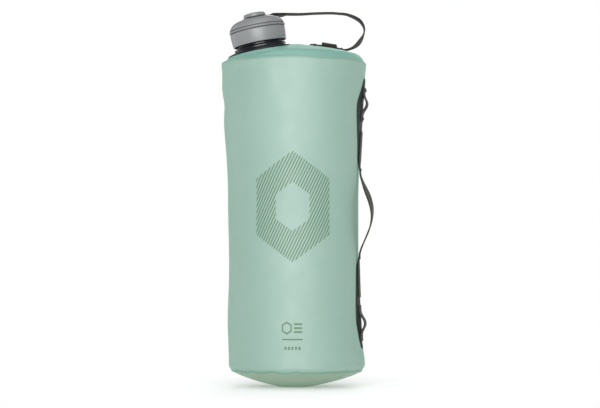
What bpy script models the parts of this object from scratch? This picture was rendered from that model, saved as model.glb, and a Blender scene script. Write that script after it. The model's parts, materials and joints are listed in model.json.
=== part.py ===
"""A collapsible two-litre water bottle: a soft film body with welded end panels, a tilted screw
cap on a wide neck, a webbing tether, and a carrying strap on the right-hand side.

Metres, +Z up. The origin is the centre of the flat disc that the bottle stands on. The front
faces -Y, the neck leans towards -X and the carrying strap is on the +X side.
"""

import math

import bmesh
import bpy
from mathutils import Matrix, Vector

# Fits and stock
FILM = 0.0006  # thickness of the film
GAP = 0.0003  # clearance between pieces that rest on each other
SPARE = 0.0002  # more clearance under a strap that follows a curved surface
PATCH = 0.0006  # thickness of a side patch
WEBBING = 0.0010  # thickness of the webbing
FINE = 0.0008  # thickness of the narrow lash webbing
STITCH = 0.0005  # height of a bartack
STITCH_HALF = 0.0008  # half of a bartack's length along the strap

# Side film: a tube with a waist, closed by laps at both ends
SEAM_LOW = 0.0120
SEAM_HIGH = 0.2545
LAP = 0.0050
WAIST_R = 0.0521
FOOT_SWELL = 0.0015
FOOT_SPAN = (0.0400, 0.1000)  # heights between which the foot's swell dies away
SHOULDER_SWELL = 0.0044
SHOULDER_SPAN = (0.1450, 0.2350)  # heights between which the shoulder's swell grows
FOOT_TUCK = 0.0015
RIM_TUCK = 0.0006
STRAP_FLAT = 0.0026  # how far the stiff patches pull the wall in
STRAP_FLAT_REACH = math.radians(25)
STRAP_ANGLE = math.radians(-10)  # direction of the carrying strap, from +X towards +Y
PATCHED = (0.0300, 0.2420)  # the wall's stretch that the patches hold
FLAT_FADE = 0.2150  # where the flattening starts to fade toward the top seam
SIDE_STEPS = 40
SIDE_ROWS = 20

# Bottom panel
CONTACT_R = 0.0200
FOOT_R = 0.0512
BOWL_POWER = 1.15
BOWL_ROWS = 6

# Top panel: a dome that lies flat under the neck's flange
DOME_R = 0.05495
DOME_TOP = 0.2684
DOME_FALL = 3.0  # drop per square metre of radius squared
DOME_SHOULDER_R = 0.0480
DOME_SHOULDER_DROP = 0.0045
SEAT_EDGE = 0.0004  # the flat seat goes on this far past the flange,
SEAT_FADE = 0.0120  # and takes this much more to become the dome
RIM_FADE = (0.0519, 0.05495)  # the radii between which the rim becomes round again
HOLE_R = 0.0172
PANEL_STEPS = (0.0, 0.03, 0.08, 0.16, 0.30, 0.50, 0.75, 1.0)  # from the rim to the hole

# Neck and cap, in the neck's own frame: radius from the axis and height u above the flange
NECK_CENTRE = Vector((-0.0266, 0.0, 0.2646))
NECK_TILT = math.radians(-11)  # about Y, so that the neck leans towards -X
FLANGE_R = 0.0258
FLANGE_UNDER = -0.0012
TUBE_R = 0.0183
BORE_R = 0.0162
NECK_RIM = 0.0169
RIM_EASE = 0.0004  # rounding of the neck's rim
TURN_STEPS = 32
PITCH = 0.0040
THREAD_TURNS = 1.5
THREAD_LOW = 0.0070  # where the neck's thread starts
CAP_THREAD_LOW = 0.0086  # where the cap's starts, with its ridges between the neck's
THREAD_STEPS = 20  # per turn
THREAD_ROOT = 0.0009  # half widths
THREAD_CREST = 0.00045
THREAD_SUNK = 0.0004  # how far a ridge's root stands inside its wall
NECK_CREST_R = 0.0199
CAP_CREST_R = 0.0187
SKIRT_R = 0.0202
CAP_LOW = 0.0055

# Tether's eye: a ring that turns on the button's collar, with a tongue that the webbing is sewn to
EYE_R = (0.0073, 0.0109)
EYE_U = (0.0247, 0.0266)
EYE_TURN = math.radians(20)  # the tongue points to the right and a little to the back
TONGUE_S = (0.0093, 0.0250)
TONGUE_U = 0.0263  # its middle, where it crosses the rim of the cap's recess
TONGUE_PIVOT_S = 0.0126
TONGUE_DROOP = math.radians(7)
TONGUE_THICK = 0.0008
TONGUE_WIDTH = 0.0110
TONGUE_SEWN_S = (0.0010, 0.0070, 0.0125)  # where the webbing lies on it

# Tether and its anchor on the top panel
TETHER_WIDTH = 0.0095
# Twists of the tether: angle, share of its length where it is most, and span as a share
TETHER_TWISTS = ((math.radians(-7), 0.530, 0.060), (math.radians(15), 0.705, 0.045))
TETHER_LEVEL_AT = 0.35  # share of the length where its width becomes level
TETHER_OVER = [
    Vector(p) for p in (
        (0.0040, 0.0092, 0.2946), (0.0145, 0.0094, 0.2952), (0.0270, 0.0080, 0.29535),
        (0.0345, 0.0066, 0.2948), (0.0420, 0.0050, 0.2935), (0.0508, 0.0032, 0.2890),
        (0.0547, 0.0022, 0.2826), (0.0534, 0.0012, 0.2754), (0.0478, 0.0004, 0.2684),
    )
]
TETHER_SEWN_X = (0.0400, 0.0330, 0.0220, 0.0120)  # where it lies on the anchor patch
ANCHOR_X = (0.0110, 0.0410)
ANCHOR_WIDTH = 0.0200
ANCHOR_PATCH = 0.0008
KEEPER_X = (0.0210, 0.0330)
KEEPER_THICK = 0.0016
KEEPER_SPAN = 0.0180
KEEPER_BEND = (0.0022, 0.0006)  # how far outside the tether's edge it leaves and reaches its height

# Carrying strap
# Inner end, widest place and outer tip of each side patch, and half its width where it is widest
PATCH_UPPER = (0.1749, 0.2190, 0.2416, 0.0152)
PATCH_LOWER = (0.0969, 0.0520, 0.0299, 0.0125)
PATCH_HALF = (0.0065, 0.0040)  # half width at the inner end and at the tip
LASH_UPPER = (0.2080, 0.2345)
LASH_LOWER = (0.0360, 0.0640)
LASH_WIDTH = 0.0110
LASH_BULGE = 0.0030
LASH_SEWN = 0.0045  # length sewn down at each end
STRAP_SEWN = (0.0700, 0.2000)
STRAP_FREE = (0.1035, 0.1675)
STRAP_BULGE = 0.0105
STRAP_WIDTH = 0.0120
STRAP_NECK = 0.0062  # width where the strap is folded and tacked down
STRAP_FLARE = 0.0180  # distance from a tack over which it widens again

# Bartacks: how far inside a strap's sewn end they lie
LASH_TACK = 0.0022
STRAP_TACK = 0.0026
TETHER_TACKS = (("inner", 0.0155), ("outer", 0.0365))
EYE_TACK = 0.0048
TACK_MARGIN = 0.0020  # how much narrower than its strap a bartack is


def smooth(t):
    """A step from 0 to 1 that starts and ends level."""
    t = min(1.0, max(0.0, t))
    return t * t * (3 - 2 * t)


def ramp(value, start, end):
    """How far a value has come from start to end, from 0 to 1, smoothed."""
    return smooth((value - start) / (end - start))


def mix(a, b, t):
    return a + (b - a) * t


def clear_scene():
    for thing in list(bpy.data.objects):
        bpy.data.objects.remove(thing, do_unlink=True)


def make_material(name, colour, roughness, metallic=0.0):
    """A Principled material of one colour."""
    made = bpy.data.materials.new(name)
    made.use_nodes = True
    shader = made.node_tree.nodes["Principled BSDF"]
    shader.inputs["Base Color"].default_value = (*colour, 1.0)
    shader.inputs["Roughness"].default_value = roughness
    shader.inputs["Metallic"].default_value = metallic
    made.diffuse_color = (*colour, 1.0)
    return made


def add_object(name, mesh_data, material, parent=None):
    """Links a bmesh to the scene as a named object, shaded smooth with sharp corners kept."""
    bmesh.ops.recalc_face_normals(mesh_data, faces=mesh_data.faces)
    mesh = bpy.data.meshes.new(name)
    mesh_data.to_mesh(mesh)
    mesh_data.free()
    mesh.materials.append(material)
    mesh.shade_smooth()
    mesh.set_sharp_from_angle(angle=math.radians(35))
    thing = bpy.data.objects.new(name, mesh)
    bpy.context.scene.collection.objects.link(thing)
    thing.parent = parent
    return thing


def thicken(thing, thickness):
    """Gives a sheet its thickness, on the side that its faces point away from."""
    solid = thing.modifiers.new("thickness", "SOLIDIFY")
    solid.thickness = thickness
    solid.offset = -1.0
    return thing


def hide_helper(thing):
    thing.hide_render = True
    thing.display_type = "WIRE"
    return thing


def combine(thing, helper, operation):
    """Unites a helper with an object, or cuts it out of the object."""
    boolean = thing.modifiers.new(helper.name, "BOOLEAN")
    boolean.operation = operation
    boolean.object = hide_helper(helper)
    return thing


def grid(rows, closed):
    """A sheet through rows of points. Its faces point along (columns) x (rows)."""
    made = bmesh.new()
    lines = [[made.verts.new(p) for p in row] for row in rows]
    columns = len(lines[0])
    for low, high in zip(lines, lines[1:]):
        for i in range(columns if closed else columns - 1):
            j = (i + 1) % columns
            made.faces.new((low[i], low[j], high[j], high[i]))
    return made, lines


def sheet_object(name, rows, closed, thickness, material, floor=False):
    """A sheet that keeps the side its faces point to, and is thickened behind it. With floor, the
    first row is closed by a flat face."""
    made, lines = grid(rows, closed)
    if floor:
        made.faces.new(lines[0][::-1])
    mesh = bpy.data.meshes.new(name)
    made.to_mesh(mesh)
    made.free()
    mesh.materials.append(material)
    mesh.shade_smooth()
    thing = bpy.data.objects.new(name, mesh)
    bpy.context.scene.collection.objects.link(thing)
    return thicken(thing, thickness)


def turned(name, profile, material, parent, steps=TURN_STEPS):
    """A solid of revolution about Z. The profile, (radius, height) pairs, runs up its outer side.
    It is a closed outline, or it starts and ends on the axis."""
    made = bmesh.new()
    rings = []
    for radius, height in profile:
        if radius == 0:
            rings.append([made.verts.new((0, 0, height))])
            continue
        turns = [2 * math.pi * i / steps for i in range(steps)]
        spots = [(radius * math.cos(a), radius * math.sin(a), height) for a in turns]
        rings.append([made.verts.new(p) for p in spots])
    pairs = list(zip(rings, rings[1:]))
    if len(rings[0]) > 1:
        pairs.append((rings[-1], rings[0]))
    for low, high in pairs:
        for i in range(steps):
            j = (i + 1) % steps
            corners = [low[i % len(low)], low[j % len(low)], high[j % len(high)], high[i % len(high)]]
            made.faces.new(list(dict.fromkeys(corners)))
    return add_object(name, made, material, parent)


def box(name, low, high, material, parent=None):
    """A plain box between two corners."""
    made = bmesh.new()
    bmesh.ops.create_cube(made, size=1.0)
    size = Vector(high) - Vector(low)
    centre = (Vector(high) + Vector(low)) / 2
    placed = Matrix.Translation(centre) @ Matrix.Diagonal((*size, 1))
    bmesh.ops.transform(made, matrix=placed, verts=made.verts)
    return add_object(name, made, material, parent)


def ribbon(name, stations, thickness, material, parent=None):
    """A strap of rectangular section. Each station is (centre, direction of the width, width)."""
    centres = [Vector(c) for c, _, _ in stations]
    last = len(stations) - 1
    made = bmesh.new()
    sections = []
    for i, (centre, across, width) in enumerate(stations):
        along = centres[min(i + 1, last)] - centres[max(i - 1, 0)]
        side = Vector(across).normalized() * (width / 2)
        up = along.cross(Vector(across)).normalized() * (thickness / 2)
        spots = (side + up, up - side, -side - up, side - up)
        sections.append([made.verts.new(centres[i] + p) for p in spots])
    for low, high in zip(sections, sections[1:]):
        for i in range(4):
            j = (i + 1) % 4
            made.faces.new((low[i], low[j], high[j], high[i]))
    made.faces.new(sections[0][::-1])
    made.faces.new(sections[-1])
    return add_object(name, made, material, parent)


def curve_through(points, per_span):
    """Points along a smooth curve through the given points."""
    padded = [2 * points[0] - points[1], *points, 2 * points[-1] - points[-2]]
    found = []
    for i in range(1, len(padded) - 2):
        a, b, c, d = padded[i - 1 : i + 3]
        for k in range(per_span):
            t = k / per_span
            found.append(0.5 * (2 * b + (c - a) * t + (2 * a - 5 * b + 4 * c - d) * t * t
                                + (3 * b - a - 3 * c + d) * t ** 3))
    return [*found, points[-1]]


def body_radius(z, angle):
    """Outside radius of the side film at a height and a direction."""
    radius = WAIST_R
    radius += FOOT_SWELL * (1 - ramp(z, *FOOT_SPAN))
    radius += SHOULDER_SWELL * ramp(z, *SHOULDER_SPAN)
    radius -= FOOT_TUCK * (1 - ramp(z, SEAM_LOW, SEAM_LOW + LAP))
    radius -= RIM_TUCK * ramp(z, SEAM_HIGH - LAP, SEAM_HIGH)
    away = math.remainder(angle - STRAP_ANGLE, 2 * math.pi) / STRAP_FLAT_REACH
    held = ramp(z, SEAM_LOW + LAP, PATCHED[0]) * (1 - ramp(z, FLAT_FADE, SEAM_HIGH - LAP))
    return radius - STRAP_FLAT * math.exp(-away * away) * held


def on_body(z, angle, lift):
    """A point that stands a distance off the side film."""
    radius = body_radius(z, angle) + lift
    return Vector((radius * math.cos(angle), radius * math.sin(angle), z))


def bowl_height(radius):
    """Height of the bottom panel's underside."""
    share = max(0.0, radius - CONTACT_R) / (FOOT_R - CONTACT_R)
    return SEAM_LOW * share ** BOWL_POWER


def panel_height(x, y):
    """Height of the top panel's outside: a dome, flat where the neck's flange lies on it."""
    radius = math.hypot(x, y)
    shoulder = max(0.0, radius - DOME_SHOULDER_R) / (DOME_R - DOME_SHOULDER_R)
    dome = DOME_TOP - DOME_FALL * radius * radius - DOME_SHOULDER_DROP * shoulder ** 3
    across = x - NECK_CENTRE.x
    seat = NECK_CENTRE.z + (FLANGE_UNDER - GAP - across * math.sin(NECK_TILT)) / math.cos(NECK_TILT)
    distance = math.hypot(across / math.cos(NECK_TILT), y)
    edge = FLANGE_R + SEAT_EDGE
    free = max(ramp(distance, edge, edge + SEAT_FADE), ramp(radius, *RIM_FADE))
    return mix(seat, dome, free)


def circle(radius, z, steps=SIDE_STEPS):
    turns = [2 * math.pi * i / steps for i in range(steps)]
    return [(radius * math.cos(a), radius * math.sin(a), z) for a in turns]


def make_side_film(material):
    turns = [2 * math.pi * i / SIDE_STEPS for i in range(SIDE_STEPS)]
    heights = [SEAM_LOW, SEAM_LOW + LAP]
    heights += [mix(*PATCHED, k / SIDE_ROWS) for k in range(SIDE_ROWS + 1)]
    heights += [SEAM_HIGH - LAP, SEAM_HIGH]
    rows = [[on_body(z, a, 0) for a in turns] for z in heights]
    return sheet_object("side_film", rows, True, FILM, material)


def make_bottom_panel(material):
    """The bowl with its flat disc, and the lap that stands inside the side film."""
    radii = [mix(CONTACT_R, FOOT_R, k / BOWL_ROWS) for k in range(BOWL_ROWS + 1)]
    rows = [circle(r, bowl_height(r)) for r in radii]
    rows.append(circle(FOOT_R, SEAM_LOW + LAP))
    return sheet_object("bottom_panel", rows, True, FILM, material, floor=True)


def make_top_panel(material):
    """The dome with its hole for the neck, and the lap that hangs inside the side film."""
    rim = circle(DOME_R, 0)
    hole = circle(HOLE_R, 0)
    rows = [circle(DOME_R, SEAM_HIGH - LAP)]
    for share in PANEL_STEPS:
        row = []
        for outer, inner in zip(rim, hole):
            x = mix(outer[0], NECK_CENTRE.x + inner[0] * math.cos(NECK_TILT), share)
            y = mix(outer[1], inner[1], share)
            row.append((x, y, panel_height(x, y)))
        rows.append(row)
    return sheet_object("top_panel", rows, True, FILM, material)


def helical_ridge(name, root_r, crest_r, low, material, parent):
    """A thread's ridge that climbs one pitch a turn and fades out at both ends."""
    made = bmesh.new()
    sections = []
    count = round(THREAD_TURNS * THREAD_STEPS)
    for i in range(count + 1):
        angle = 2 * math.pi * i / THREAD_STEPS
        height = low + PITCH * i / THREAD_STEPS
        full = min(1.0, 0.25 + min(i, count - i) / 4)
        tip = mix(root_r, crest_r, full)
        outline = (
            (root_r, -THREAD_ROOT), (tip, -THREAD_CREST), (tip, THREAD_CREST), (root_r, THREAD_ROOT),
        )
        spots = [(r * math.cos(angle), r * math.sin(angle), height + u) for r, u in outline]
        sections.append([made.verts.new(p) for p in spots])
    for low_ring, high_ring in zip(sections, sections[1:]):
        for i in range(4):
            j = (i + 1) % 4
            made.faces.new((low_ring[i], low_ring[j], high_ring[j], high_ring[i]))
    made.faces.new(sections[0][::-1])
    made.faces.new(sections[-1])
    return add_object(name, made, material, parent)


def make_neck(material, axis):
    """Flange, collar, and a tube with an outside thread."""
    profile = [
        (BORE_R, FLANGE_UNDER), (FLANGE_R, FLANGE_UNDER), (FLANGE_R, -0.0002), (0.0214, 0.0010),
        (0.0209, 0.0015), (0.0209, 0.0029), (0.0204, 0.0034), (TUBE_R, 0.0036),
        (TUBE_R, NECK_RIM - RIM_EASE), (TUBE_R - RIM_EASE, NECK_RIM),
        (BORE_R + RIM_EASE, NECK_RIM), (BORE_R, NECK_RIM - RIM_EASE),
    ]
    neck = turned("neck_spout", profile, material, axis)
    root_r = TUBE_R - THREAD_SUNK
    ridge = helical_ridge("neck_thread", root_r, NECK_CREST_R, THREAD_LOW, material, axis)
    return combine(neck, ridge, "UNION")


def make_cap(material, axis):
    """Skirt with an inside thread, a groove for the ring, and a dome with a socket on top."""
    profile = [
        (0, 0.0186), (0.0062, 0.0186), (0.0062, 0.0233), (0.0140, 0.0233), (0.0163, 0.0212),
        (0.0163, 0.0183), (0.0189, 0.0183), (0.0189, 0.0147), (SKIRT_R, 0.0145), (SKIRT_R, CAP_LOW),
        (0.0210, CAP_LOW), (0.0213, 0.0059), (0.0220, 0.0157), (0.0218, 0.0162), (0.0205, 0.0162),
        (0.0205, 0.0191), (0.0217, 0.0192), (0.0214, 0.0204), (0.0195, 0.0227), (0.0163, 0.0248),
        (0.0142, 0.0255), (0.0126, 0.0256), (0.0116, 0.0252), (0.0114, 0.0244), (0.0046, 0.0244),
        (0.0046, 0.0204), (0, 0.0204),
    ]
    cap = turned("cap_shell", profile, material, axis)
    root_r = SKIRT_R + THREAD_SUNK
    ridge = helical_ridge("cap_thread", root_r, CAP_CREST_R, CAP_THREAD_LOW, material, axis)
    return combine(cap, ridge, "UNION")


def make_cap_ring(material, axis):
    profile = [(0.0208, 0.0165), (0.0221, 0.0165), (0.0224, 0.0169), (0.0224, 0.0184), (0.0221, 0.0188),
               (0.0208, 0.0188)]
    return turned("cap_ring", profile, material, axis)


def make_gasket(material, axis):
    profile = [(0.0164, 0.0172), (0.0186, 0.0172), (0.0186, 0.0180), (0.0164, 0.0180)]
    return turned("cap_gasket", profile, material, axis)


def make_button(material, axis):
    """The knob that holds the tether's eye, with a collar and a stem pressed into the cap."""
    profile = [
        (0, 0.0207), (0.0043, 0.0207), (0.0043, 0.0247), (0.0070, 0.0247), (0.0070, 0.0269),
        (0.0085, 0.0269), (0.0088, 0.0273), (0.0088, 0.0290), (0.0083, 0.0298), (0.0068, 0.0303),
        (0.0035, 0.0305), (0, 0.0305),
    ]
    return turned("tether_button", profile, material, axis, 32)


def make_eye(material, axis):
    """A flat ring that turns under the button, with a drooping tongue."""
    (inner, outer), (low, high) = EYE_R, EYE_U
    profile = [(inner, low), (outer, low), (outer, high), (inner, high)]
    eye = turned("tether_eye", profile, material, axis, 32)
    half = Vector((0, TONGUE_WIDTH / 2, TONGUE_THICK / 2))
    start = Vector((TONGUE_S[0] - TONGUE_PIVOT_S, 0, 0))
    end = Vector((TONGUE_S[1] - TONGUE_PIVOT_S, 0, 0))
    tongue = box("eye_tongue", start - half, end + half, material, eye)
    tongue.location = (TONGUE_PIVOT_S, 0, TONGUE_U)
    tongue.rotation_euler.y = TONGUE_DROOP
    combine(eye, tongue, "UNION")
    eye.rotation_euler.z = EYE_TURN
    return eye


def neck_frame():
    """The neck's own frame as a matrix: Z along its axis, origin at the flange's centre."""
    return Matrix.Translation(NECK_CENTRE) @ Matrix.Rotation(NECK_TILT, 4, "Y")


def tongue_frame():
    """The tongue's own frame as a matrix: X along it, Z out of its top, origin over the recess's rim."""
    turn = Matrix.Rotation(EYE_TURN, 4, "Z")
    place = Matrix.Translation((TONGUE_PIVOT_S, 0, TONGUE_U))
    return neck_frame() @ turn @ place @ Matrix.Rotation(TONGUE_DROOP, 4, "Y")


def on_dome(x, lift):
    """A point that stands a distance off the top panel's middle line."""
    return Vector((x, 0, panel_height(x, 0) + lift))


def make_tether(material):
    """The webbing from the eye's tongue, over to the right, and back down to its anchor."""
    frame = tongue_frame()
    seat = TONGUE_THICK / 2 + GAP + WEBBING / 2
    lift = 2 * GAP + ANCHOR_PATCH + WEBBING / 2
    route = [
        *(frame @ Vector((s, 0, seat)) for s in TONGUE_SEWN_S),
        *TETHER_OVER,
        on_dome(TETHER_SEWN_X[0], lift + GAP),
        *(on_dome(x, lift) for x in TETHER_SEWN_X[1:]),
    ]
    free = curve_through(route, 4)
    across = frame.to_3x3() @ Vector((0, 1, 0))
    stations = []
    for i, point in enumerate(free):
        share = i / (len(free) - 1)
        turn = sum(t * math.exp(-(((share - at) / span) ** 2)) for t, at, span in TETHER_TWISTS)
        level = across.lerp(Vector((0, 1, 0)), ramp(share, 0, TETHER_LEVEL_AT))
        ahead = free[min(i + 1, len(free) - 1)] - free[max(i - 1, 0)]
        stations.append((point, Matrix.Rotation(turn, 3, ahead) @ level, TETHER_WIDTH))
    return ribbon("tether_strap", stations, WEBBING, material)


def make_anchor_patch(material):
    """The webbing patch on the top panel that the tether is sewn to."""
    steps = 8
    half = ANCHOR_WIDTH / 2
    rows = []
    for k in range(steps + 1):
        x = mix(*ANCHOR_X, k / steps)
        spots = [mix(-half, half, i / 4) for i in range(5)]
        rows.append([(x, y, panel_height(x, y) + GAP + ANCHOR_PATCH) for y in spots[::-1]])
    return sheet_object("tether_anchor_patch", rows, False, ANCHOR_PATCH, material)


def make_keeper(material):
    """A doubled webbing strap over the tether, with its feet on the patch at both sides."""
    x = mix(*KEEPER_X, 0.5)
    patch_top = GAP + ANCHOR_PATCH
    foot = patch_top + GAP + KEEPER_THICK / 2
    bridge = patch_top + 2 * GAP + WEBBING + KEEPER_THICK / 2 + SPARE
    half = KEEPER_SPAN / 2
    leave, reach = (TETHER_WIDTH / 2 + away for away in KEEPER_BEND)
    spots = [(-half, foot), (-leave, foot), (-reach, bridge), (0, bridge), (reach, bridge),
             (leave, foot), (half, foot)]
    slope = panel_height(x + 0.001, 0) - panel_height(x - 0.001, 0)
    along = Vector((0.002, 0, slope))
    stations = [(Vector((x, y, panel_height(x, y) + lift)), along, KEEPER_X[1] - KEEPER_X[0])
                for y, lift in spots]
    return ribbon("tether_keeper", stations, KEEPER_THICK, material)


def make_patch(name, heights, material):
    """A side patch: a narrow inner end for the strap, a wide part, and a rounded outer tip."""
    inner, wide, outer, broad = heights
    narrow, tip = PATCH_HALF
    rows = []
    steps = 12
    for k in range(steps + 1):
        z = mix(inner, outer, k / steps)
        if abs(z - inner) < abs(wide - inner):
            half = mix(narrow, broad, ramp(z, inner, wide))
        else:
            half = mix(broad, tip, ramp(z, wide, outer))
        reach = half / WAIST_R
        angles = [STRAP_ANGLE + mix(-reach, reach, i / 6) for i in range(7)]
        rows.append([on_body(z, a, GAP + PATCH) for a in angles])
    if outer < inner:
        rows.reverse()
    return sheet_object(name, rows, False, PATCH, material)


def strap_station(z, lift, width):
    """A station of a strap that runs up the side: its centre, level width direction and width."""
    across = Vector((-math.sin(STRAP_ANGLE), math.cos(STRAP_ANGLE), 0))
    return on_body(z, STRAP_ANGLE, lift), across, width


def make_lash(name, ends, material):
    """A small flat loop over a patch's wide part, sewn down at both ends."""
    low, high = ends
    flat = GAP + PATCH + GAP + FINE / 2 + SPARE
    stations = []
    steps = 16
    for k in range(steps + 1):
        z = mix(low, high, k / steps)
        share = (z - low - LASH_SEWN) / (high - low - 2 * LASH_SEWN)
        bulge = LASH_BULGE * math.sin(math.pi * min(1, max(0, share))) ** 2
        stations.append(strap_station(z, flat + bulge, LASH_WIDTH))
    return ribbon(name, stations, FINE, material)


def strap_lift(z):
    """How far the carrying strap's middle stands off the film."""
    share = min(1, max(0, (z - STRAP_FREE[0]) / (STRAP_FREE[1] - STRAP_FREE[0])))
    return GAP + PATCH + GAP + WEBBING / 2 + SPARE + STRAP_BULGE * math.sin(math.pi * share) ** 2


def make_handle(material):
    """The carrying strap: sewn to a patch at both ends and free between them."""
    stations = []
    steps = 44
    for k in range(steps + 1):
        z = mix(*STRAP_SEWN, k / steps)
        away = min(abs(z - tack) for tack in STRAP_FREE)
        width = mix(STRAP_NECK, STRAP_WIDTH, ramp(away, 0, STRAP_FLARE))
        stations.append(strap_station(z, strap_lift(z), width))
    return ribbon("handle_strap", stations, WEBBING, material)


def make_side_bartack(name, z, top, width, material):
    """A stitch bar across a strap on the side, given the height of the strap's outside."""
    lift = top + GAP + STITCH / 2
    stations = [strap_station(z + dz, lift, width) for dz in (-STITCH_HALF, STITCH_HALF)]
    return ribbon(name, stations, STITCH, material)


def make_side_bartacks(material):
    lash_top = GAP + PATCH + GAP + FINE + SPARE
    lash_width = LASH_WIDTH - TACK_MARGIN
    for name, (low, high) in (("upper_lash", LASH_UPPER), ("lower_lash", LASH_LOWER)):
        for side, z in (("low", low + LASH_TACK), ("high", high - LASH_TACK)):
            make_side_bartack(f"{name}_bartack_{side}", z, lash_top, lash_width, material)
    strap_top = GAP + PATCH + GAP + WEBBING + SPARE
    low, high = STRAP_FREE
    for side, z in (("low", low - STRAP_TACK), ("high", high + STRAP_TACK)):
        make_side_bartack(f"handle_bartack_{side}", z, strap_top, STRAP_NECK, material)


def make_tether_bartacks(material):
    """Stitch bars on the tether: two over the anchor patch, one behind the eye."""
    lift = 2 * GAP + ANCHOR_PATCH + WEBBING + GAP + STITCH / 2 + SPARE
    width = TETHER_WIDTH - TACK_MARGIN
    ends = (-STITCH_HALF, STITCH_HALF)
    for side, x in TETHER_TACKS:
        stations = [(on_dome(x + dx, lift), (0, 1, 0), width) for dx in ends]
        ribbon(f"tether_bartack_{side}", stations, STITCH, material)
    frame = tongue_frame()
    across = frame.to_3x3() @ Vector((0, 1, 0))
    height = TONGUE_THICK / 2 + GAP + WEBBING + GAP + STITCH / 2
    stations = [(frame @ Vector((EYE_TACK + ds, 0, height)), across, width) for ds in ends]
    ribbon("tether_bartack_eye", stations, STITCH, material)


def main():
    clear_scene()
    film = make_material("film", (0.46, 0.63, 0.55), 0.38)
    end_film = make_material("end_film", (0.23, 0.48, 0.40), 0.38)
    black = make_material("neck_black", (0.012, 0.013, 0.020), 0.22)
    grey = make_material("cap_grey", (0.30, 0.30, 0.31), 0.45)
    ring_grey = make_material("ring_grey", (0.25, 0.25, 0.26), 0.50)
    silicone = make_material("silicone", (0.70, 0.71, 0.70), 0.55)
    webbing = make_material("webbing", (0.028, 0.032, 0.028), 0.80)
    patch = make_material("patch", (0.020, 0.031, 0.028), 0.70)
    thread = make_material("thread", (0.018, 0.020, 0.019), 0.75)

    make_side_film(film)
    make_bottom_panel(film)
    make_top_panel(end_film)

    axis = bpy.data.objects.new("neck_axis", None)
    bpy.context.scene.collection.objects.link(axis)
    axis.location = NECK_CENTRE
    axis.rotation_euler.y = NECK_TILT
    make_neck(black, axis)
    make_cap(grey, axis)
    make_cap_ring(ring_grey, axis)
    make_gasket(silicone, axis)
    make_button(grey, axis)
    make_eye(black, axis)

    make_tether(webbing)
    make_anchor_patch(patch)
    make_keeper(webbing)
    make_tether_bartacks(thread)

    make_patch("upper_patch", PATCH_UPPER, patch)
    make_patch("lower_patch", PATCH_LOWER, patch)
    make_lash("upper_lash_strap", LASH_UPPER, webbing)
    make_lash("lower_lash_strap", LASH_LOWER, webbing)
    make_handle(webbing)
    make_side_bartacks(thread)


main()
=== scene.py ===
"""Looks of a folding water bottle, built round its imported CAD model.

Metres, +Z up, in the CAD's own frame. Every piece is a closed mesh with a UV map named "metres",
whose values are lengths along the surface, so that weave and grain have their real size and stay
with the piece when it folds.
"""

import json
import math

import bmesh
import bpy
import numpy as np
from mathutils import Matrix, Vector


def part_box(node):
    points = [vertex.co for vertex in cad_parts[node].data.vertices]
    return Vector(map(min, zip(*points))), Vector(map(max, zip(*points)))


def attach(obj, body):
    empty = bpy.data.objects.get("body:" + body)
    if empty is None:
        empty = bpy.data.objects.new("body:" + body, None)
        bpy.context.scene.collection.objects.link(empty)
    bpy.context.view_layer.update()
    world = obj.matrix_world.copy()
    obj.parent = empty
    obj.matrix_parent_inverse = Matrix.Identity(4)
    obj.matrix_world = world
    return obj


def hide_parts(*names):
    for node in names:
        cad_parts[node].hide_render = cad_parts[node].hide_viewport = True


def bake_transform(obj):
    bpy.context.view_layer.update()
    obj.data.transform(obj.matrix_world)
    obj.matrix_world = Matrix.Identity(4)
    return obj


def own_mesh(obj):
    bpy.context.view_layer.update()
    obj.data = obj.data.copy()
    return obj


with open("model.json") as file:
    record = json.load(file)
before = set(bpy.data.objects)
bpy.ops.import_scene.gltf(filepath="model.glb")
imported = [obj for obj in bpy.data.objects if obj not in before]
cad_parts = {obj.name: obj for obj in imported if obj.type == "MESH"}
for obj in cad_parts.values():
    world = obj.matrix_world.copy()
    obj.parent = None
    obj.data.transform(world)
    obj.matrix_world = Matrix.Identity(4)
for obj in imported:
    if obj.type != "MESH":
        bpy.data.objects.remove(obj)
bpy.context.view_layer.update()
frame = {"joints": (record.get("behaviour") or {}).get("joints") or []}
JOINTS = {joint["name"]: joint for joint in frame["joints"]}

# Places read from the CAD
SEAM_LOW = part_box("side_film")[0].z
SEAM_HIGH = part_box("side_film")[1].z
NECK = Vector(JOINTS["cap_turn"]["pos_m"])
AXIS = Vector(JOINTS["cap_turn"]["axis"])
NECK_TILT = math.atan2(AXIS.x, AXIS.z)
NECK_FRAME = Matrix.Translation(NECK) @ Matrix.Rotation(NECK_TILT, 4, "Y")
HANDLE_AT = Vector(JOINTS["handle_swing"]["pos_m"])
STRAP_ANGLE = math.atan2(HANDLE_AT.y, HANDLE_AT.x)
COLLAPSED = 1 - JOINTS["body_collapse"]["range_m"][1] / (SEAM_HIGH - SEAM_LOW)

TURN = 2 * math.pi
SHARP = math.radians(50)   # faces that meet at more than this keep a hard edge
POLE_WELD = 1e-7   # points this close are one, where a round panel meets its middle

# Fits and stock, as in the CAD
FILM = 0.0006
GAP = 0.0003
SPARE = 0.0002
PATCH = 0.0006
WEBBING = 0.0010
FINE = 0.0008
LAP = 0.0050

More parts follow.
